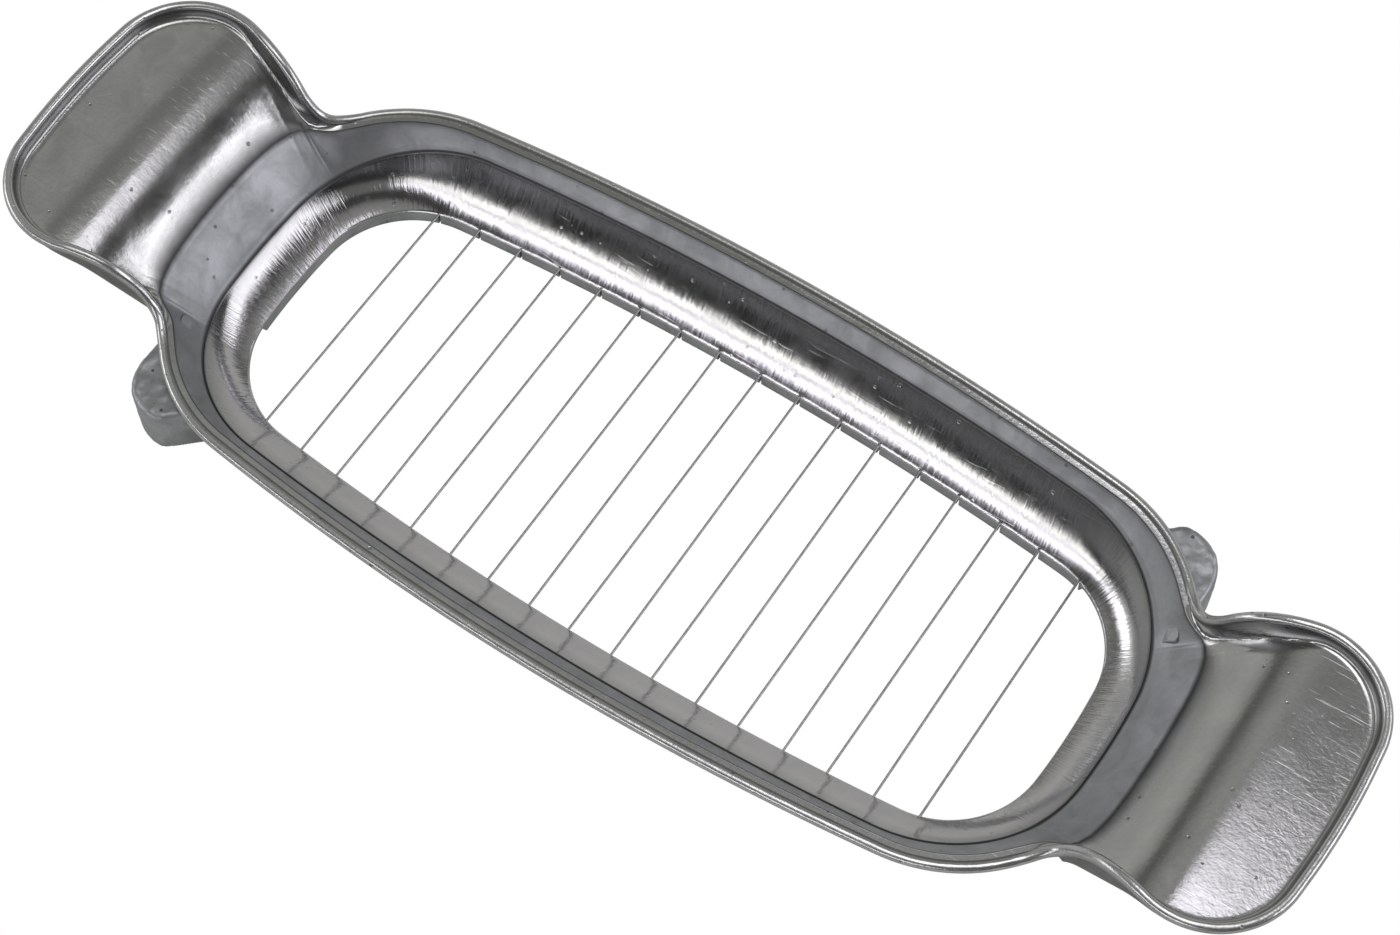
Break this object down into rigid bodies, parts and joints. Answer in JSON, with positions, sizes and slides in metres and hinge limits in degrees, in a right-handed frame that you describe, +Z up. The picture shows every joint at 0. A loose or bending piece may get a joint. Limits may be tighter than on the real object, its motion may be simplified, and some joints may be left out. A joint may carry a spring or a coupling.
{
  "type": "wire slicer",
  "caption": "Flat two-handled slicer: long bowed tray frame, open in the middle, with one fine steel wire laced across it at an equal pitch.",
  "frame": {"origin": "middle of the plane that the lip stands on, under the middle of the opening", "axes": "+X along the length towards the right handle, +Z up out of the tray"},
  "size_m": [0.2024, 0.0698, 0.0235],
  "materials": {
    "cast_alloy": "ground and buffed casting, as-cast grey where it was not ground",
    "wire_steel": "drawn spring wire, dull",
    "screw_steel": "turned, zinc plated",
    "washer_steel": "stamped, zinc plated"
  },
  "bodies": {
    "root": {"frame": "cast_alloy", "cutting_wire": "wire_steel", "anchor_screw_left": "screw_steel", "anchor_screw_right": "screw_steel", "anchor_washer_left": "washer_steel", "anchor_washer_right": "washer_steel"}
  },
  "joints": []
}
